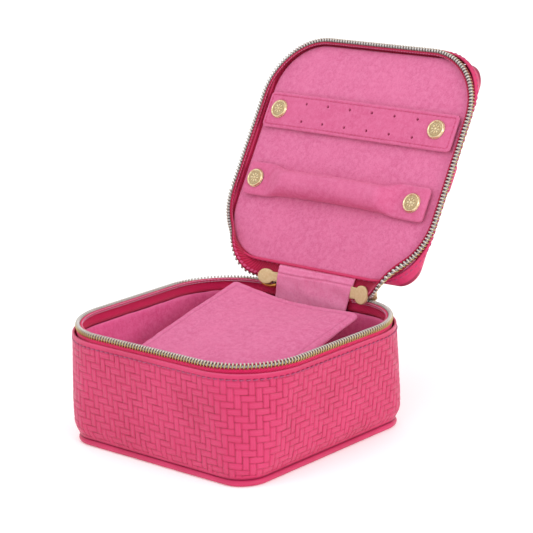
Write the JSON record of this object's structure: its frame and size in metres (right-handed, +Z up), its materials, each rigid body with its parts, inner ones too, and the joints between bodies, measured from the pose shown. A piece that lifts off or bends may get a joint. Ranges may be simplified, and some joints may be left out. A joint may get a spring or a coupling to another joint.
{
  "type": "jewellery case",
  "caption": "Rounded-square zipped jewellery case in woven-embossed leather, standing open, with suede lining, inner flap, and a lid holding an earring strip and a padded ring roll.",
  "frame": {"origin": "centre of the bottom face that the case stands on", "axes": "+Z up, +Y to the hinge side, -Y the front, +X to the right seen from the front"},
  "size_m": [0.1342, 0.1839, 0.1711],
  "materials": {
    "leather_embossed": "hot pink leather embossed with a woven twill",
    "leather": "hot pink grained leather",
    "suede": "pink suede with a short nap",
    "board": "grey-brown stiffening board",
    "foam": "soft padding",
    "piping_cord": "twisted cotton cord",
    "zip_tape": "crimson woven tape",
    "zip_coil": "metallised coil, gold flank and silver edge",
    "brass": "pale gold plated metal"
  },
  "bodies": {
    "base": {"base_bottom_leather": "leather", "base_floor_board": "board", "base_floor_suede": "suede", "base_piping": "leather", "base_piping_cord": "piping_cord", "base_wall_leather": "leather_embossed", "base_wall_board": "board", "base_wall_suede": "suede", "base_zip_tape": "zip_tape", "base_zip_coil": "zip_coil", "spine_leather_lower": "leather", "hinge_cover_lower": "suede", "zip_end_stops": "brass", "divider_left_board": "board", "divider_left_suede": "suede", "divider_right_board": "board", "divider_right_suede": "suede", "inner_flap_tab": "suede"},
    "lid": {"lid_top_leather": "leather_embossed", "lid_top_board": "board", "lid_piping": "leather", "lid_piping_cord": "piping_cord", "lid_wall_leather": "leather_embossed", "lid_foam_pad": "foam", "lid_lining_board": "board", "lid_lining_suede": "suede", "lid_zip_tape": "zip_tape", "lid_zip_coil": "zip_coil", "spine_leather_upper": "leather", "hinge_cover_upper": "suede", "lid_handle": "leather", "snap_studs": "brass", "earring_strip_fixed_end": "suede", "ring_roll_fixed_end": "suede", "snap_cap_earring_fixed": "brass", "snap_cap_ring_fixed": "brass", "snap_fixed_posts": "brass"},
    "inner_flap": {"inner_flap_top_suede": "suede", "inner_flap_board": "board", "inner_flap_bottom_suede": "suede"},
    "earring_strip": {"earring_strip": "suede", "snap_cap_earring_free": "brass", "snap_socket_earring": "brass"},
    "ring_roll": {"ring_roll_suede": "suede", "ring_roll_padding": "foam", "snap_cap_ring_free": "brass", "snap_socket_ring": "brass"},
    "slider_left": {"zip_slider_left": "brass"},
    "slider_right": {"zip_slider_right": "brass"},
    "pull_left": {"zip_pull_left": "brass"},
    "pull_right": {"zip_pull_right": "brass"}
  },
  "joints": [
    {"name": "lid_hinge", "type": "hinge", "parent": "base", "child": "lid", "pos_m": [0, 0.0599, 0.0651], "axis": [-1, 0, 0], "range_deg": [-121, 0]},
    {"name": "inner_flap_hinge", "type": "hinge", "parent": "base", "child": "inner_flap", "pos_m": [0, -0.053, 0.032], "axis": [1, 0, 0], "range_deg": [-13.4, 76]},
    {"name": "earring_strip_lift", "type": "hinge", "parent": "lid", "child": "earring_strip", "pos_m": [-0.0436, 0.09428, 0.13532], "axis": [0, -0.515, -0.8572], "range_deg": [0, 90]},
    {"name": "ring_roll_lift", "type": "hinge", "parent": "lid", "child": "ring_roll", "pos_m": [-0.0436, 0.07461, 0.10375], "axis": [0, -0.515, -0.8572], "range_deg": [0, 90]},
    {"name": "slider_left_run", "type": "hinge", "parent": "base", "child": "slider_left", "pos_m": [-0.0327, 0.0258, 0.0588], "axis": [0, 0, 1], "range_deg": [0, 85]},
    {"name": "slider_right_run", "type": "hinge", "parent": "base", "child": "slider_right", "pos_m": [0.0327, 0.0258, 0.0588], "axis": [0, 0, -1], "range_deg": [0, 85]},
    {"name": "pull_left_swing", "type": "hinge", "parent": "slider_left", "child": "pull_left", "pos_m": [-0.0315, 0.0632, 0.0588], "axis": [1, 0, 0], "range_deg": [0, 140]},
    {"name": "pull_right_swing", "type": "hinge", "parent": "slider_right", "child": "pull_right", "pos_m": [0.0315, 0.0632, 0.0588], "axis": [1, 0, 0], "range_deg": [0, 140]}
  ]
}
